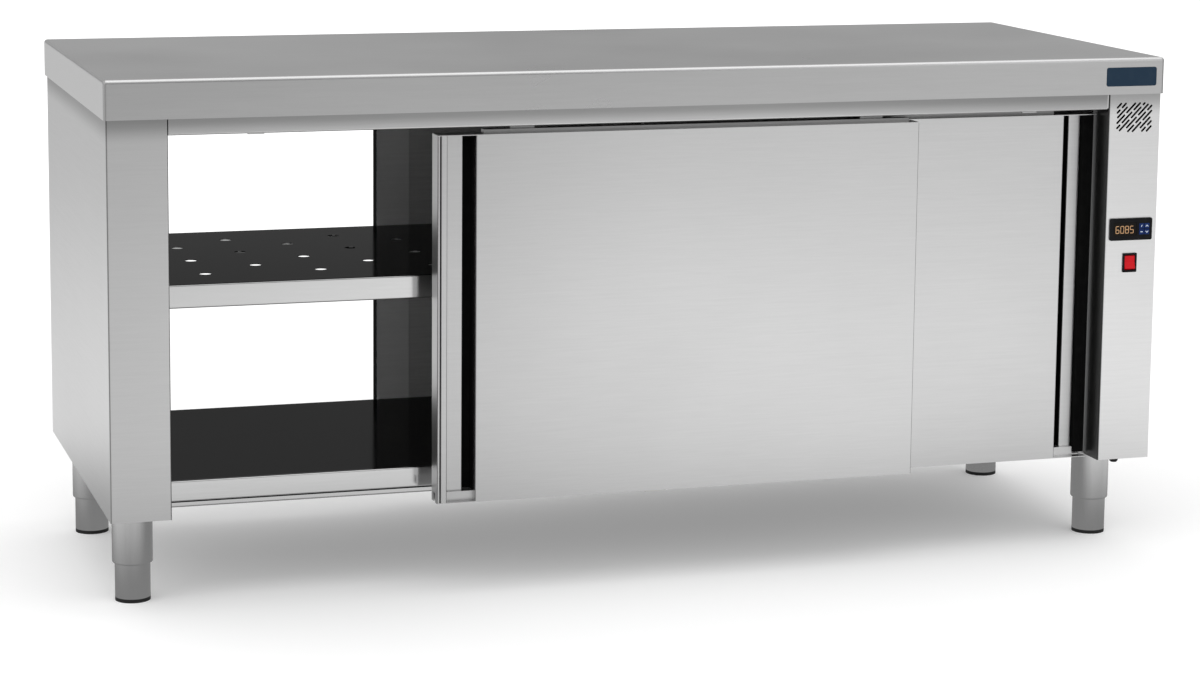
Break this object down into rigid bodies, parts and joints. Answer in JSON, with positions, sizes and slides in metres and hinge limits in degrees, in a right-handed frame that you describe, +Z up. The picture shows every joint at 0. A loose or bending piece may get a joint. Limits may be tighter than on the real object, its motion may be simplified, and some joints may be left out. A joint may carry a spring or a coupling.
{
  "type": "plate warmer cabinet",
  "caption": "Pass-through stainless hot cupboard with sliding doors front and rear, a perforated middle shelf, a control compartment and round adjustable legs.",
  "frame": {"origin": "on the floor, under the middle of the worktop", "axes": "+X to the right along the cupboard's length, seen from the control side; -Y out of the front; +Z up"},
  "size_m": [1.8, 0.7, 0.85],
  "materials": {
    "steel_brushed": "stainless sheet with a fine lengthways grain",
    "steel_door": "stainless sheet with a fine grain",
    "steel_door_back": "bright stainless sheet, rear side of a door",
    "steel_pan": "bright stainless sheet, more mirror-like than the outside",
    "steel_polished": "polished stainless tube and screws",
    "foot_steel": "polished stainless tube with a black plastic end",
    "aluminium_track": "drawn aluminium",
    "nylon_white": "white nylon",
    "roller_nylon": "dark nylon",
    "rubber_black": "black rubber",
    "plastic_black": "black moulded plastic",
    "gland_black": "black nylon",
    "display_window": "dark smoked window",
    "key_blue": "dark blue keys",
    "rocker_red": "red translucent plastic",
    "badge_blue": "dark blue plate, bare",
    "element_sheath": "heat-tinted sheath",
    "motor_paint": "dark grey paint",
    "fan_alu": "pressed aluminium",
    "terminal_ivory": "ivory plastic"
  },
  "bodies": {
    "body": {"worktop": "steel_brushed", "worktop_channels": "steel_pan", "left_side_panel": "steel_brushed", "left_liner": "steel_pan", "right_side_panel": "steel_brushed", "right_liner": "steel_pan", "control_panel": "steel_brushed", "floor_pan": "steel_pan", "base_pan": "steel_pan", "ceiling_pan": "steel_pan", "middle_shelf": "steel_pan", "shelf_supports": "steel_pan", "fascias": "steel_brushed", "door_tracks": "aluminium_track", "bottom_guides": "nylon_white", "controller_body": "plastic_black", "controller_display": "display_window", "switch_bezel": "plastic_black", "badge_plate": "badge_blue", "cable_gland": "gland_black", "heating_element": "element_sheath", "fan_motor": "motor_paint", "temperature_probe": "steel_polished", "terminal_block": "terminal_ivory", "leg_sockets": "steel_polished", "screws": "steel_polished"},
    "front_outer": {"front_outer_door": "steel_door", "front_outer_back": "steel_door_back", "front_outer_hanger": "aluminium_track"},
    "front_outer_roller_l": {"front_outer_roller_l": "roller_nylon"},
    "front_outer_roller_r": {"front_outer_roller_r": "roller_nylon"},
    "front_inner": {"front_inner_door": "steel_door", "front_inner_back": "steel_door_back", "front_inner_hanger": "aluminium_track", "front_inner_buffer": "rubber_black"},
    "front_inner_roller_l": {"front_inner_roller_l": "roller_nylon"},
    "front_inner_roller_r": {"front_inner_roller_r": "roller_nylon"},
    "rear_outer": {"rear_outer_door": "steel_door", "rear_outer_back": "steel_door_back", "rear_outer_hanger": "aluminium_track"},
    "rear_outer_roller_l": {"rear_outer_roller_l": "roller_nylon"},
    "rear_outer_roller_r": {"rear_outer_roller_r": "roller_nylon"},
    "rear_inner": {"rear_inner_door": "steel_door", "rear_inner_back": "steel_door_back", "rear_inner_hanger": "aluminium_track", "rear_inner_buffer": "rubber_black"},
    "rear_inner_roller_l": {"rear_inner_roller_l": "roller_nylon"},
    "rear_inner_roller_r": {"rear_inner_roller_r": "roller_nylon"},
    "key_exit": {"key_exit": "key_blue"},
    "key_up": {"key_up": "key_blue"},
    "key_set": {"key_set": "key_blue"},
    "key_down": {"key_down": "key_blue"},
    "rocker": {"switch_rocker": "rocker_red"},
    "fan": {"fan_wheel": "fan_alu"},
    "foot_front_left": {"foot_front_left": "foot_steel"},
    "foot_front_right": {"foot_front_right": "foot_steel"},
    "foot_rear_left": {"foot_rear_left": "foot_steel"},
    "foot_rear_right": {"foot_rear_right": "foot_steel"}
  },
  "joints": [
    {"name": "front_outer_slide", "type": "slide", "parent": "body", "child": "front_outer", "axis": [1, 0, 0], "range_m": [-0.427, 0.347]},
    {"name": "front_inner_slide", "type": "slide", "parent": "body", "child": "front_inner", "axis": [1, 0, 0], "range_m": [-0.771, 0]},
    {"name": "rear_outer_slide", "type": "slide", "parent": "body", "child": "rear_outer", "axis": [1, 0, 0], "range_m": [-0.774, 0]},
    {"name": "rear_inner_slide", "type": "slide", "parent": "body", "child": "rear_inner", "axis": [1, 0, 0], "range_m": [-0.47, 0.301]},
    {"name": "front_outer_roller_l_spin", "type": "hinge", "parent": "front_outer", "child": "front_outer_roller_l", "pos_m": [-0.2295, -0.325, 0.7753], "axis": [0, 1, 0], "continuous": true},
    {"name": "front_outer_roller_r_spin", "type": "hinge", "parent": "front_outer", "child": "front_outer_roller_r", "pos_m": [0.3715, -0.325, 0.7753], "axis": [0, 1, 0], "continuous": true},
    {"name": "front_inner_roller_l_spin", "type": "hinge", "parent": "front_inner", "child": "front_inner_roller_l", "pos_m": [0.052, -0.284, 0.7753], "axis": [0, 1, 0], "continuous": true},
    {"name": "front_inner_roller_r_spin", "type": "hinge", "parent": "front_inner", "child": "front_inner_roller_r", "pos_m": [0.656, -0.284, 0.7753], "axis": [0, 1, 0], "continuous": true},
    {"name": "rear_outer_roller_l_spin", "type": "hinge", "parent": "rear_outer", "child": "rear_outer_roller_l", "pos_m": [0.0555, 0.325, 0.7753], "axis": [0, 1, 0], "continuous": true},
    {"name": "rear_outer_roller_r_spin", "type": "hinge", "parent": "rear_outer", "child": "rear_outer_roller_r", "pos_m": [0.6565, 0.325, 0.7753], "axis": [0, 1, 0], "continuous": true},
    {"name": "rear_inner_roller_l_spin", "type": "hinge", "parent": "rear_inner", "child": "rear_inner_roller_l", "pos_m": [-0.186, 0.284, 0.7753], "axis": [0, 1, 0], "continuous": true},
    {"name": "rear_inner_roller_r_spin", "type": "hinge", "parent": "rear_inner", "child": "rear_inner_roller_r", "pos_m": [0.418, 0.284, 0.7753], "axis": [0, 1, 0], "continuous": true},
    {"name": "key_exit_press", "type": "slide", "parent": "body", "child": "key_exit", "axis": [0, 1, 0], "range_m": [0, 0.001], "stiffness_N_per_m": 800},
    {"name": "key_up_press", "type": "slide", "parent": "body", "child": "key_up", "axis": [0, 1, 0], "range_m": [0, 0.001], "stiffness_N_per_m": 800},
    {"name": "key_set_press", "type": "slide", "parent": "body", "child": "key_set", "axis": [0, 1, 0], "range_m": [0, 0.001], "stiffness_N_per_m": 800},
    {"name": "key_down_press", "type": "slide", "parent": "body", "child": "key_down", "axis": [0, 1, 0], "range_m": [0, 0.001], "stiffness_N_per_m": 800},
    {"name": "rocker_tilt", "type": "hinge", "parent": "body", "child": "rocker", "pos_m": [0.848, -0.34, 0.498], "axis": [1, 0, 0], "range_deg": [0, 14]},
    {"name": "fan_spin", "type": "hinge", "parent": "body", "child": "fan", "pos_m": [0.82, 0, 0.5], "axis": [1, 0, 0], "continuous": true},
    {"name": "foot_front_left_height", "type": "slide", "parent": "body", "child": "foot_front_left", "axis": [0, 0, -1], "range_m": [0, 0.025]},
    {"name": "foot_front_right_height", "type": "slide", "parent": "body", "child": "foot_front_right", "axis": [0, 0, -1], "range_m": [0, 0.025]},
    {"name": "foot_rear_left_height", "type": "slide", "parent": "body", "child": "foot_rear_left", "axis": [0, 0, -1], "range_m": [0, 0.025]},
    {"name": "foot_rear_right_height", "type": "slide", "parent": "body", "child": "foot_rear_right", "axis": [0, 0, -1], "range_m": [0, 0.025]}
  ],
  "couplings": [
    {"joint": "front_outer_roller_l_spin", "follows": "front_outer_slide", "rad_per_m": 100},
    {"joint": "front_outer_roller_r_spin", "follows": "front_outer_slide", "rad_per_m": 100},
    {"joint": "front_inner_roller_l_spin", "follows": "front_inner_slide", "rad_per_m": 100},
    {"joint": "front_inner_roller_r_spin", "follows": "front_inner_slide", "rad_per_m": 100},
    {"joint": "rear_outer_roller_l_spin", "follows": "rear_outer_slide", "rad_per_m": 100},
    {"joint": "rear_outer_roller_r_spin", "follows": "rear_outer_slide", "rad_per_m": 100},
    {"joint": "rear_inner_roller_l_spin", "follows": "rear_inner_slide", "rad_per_m": 100},
    {"joint": "rear_inner_roller_r_spin", "follows": "rear_inner_slide", "rad_per_m": 100}
  ]
}
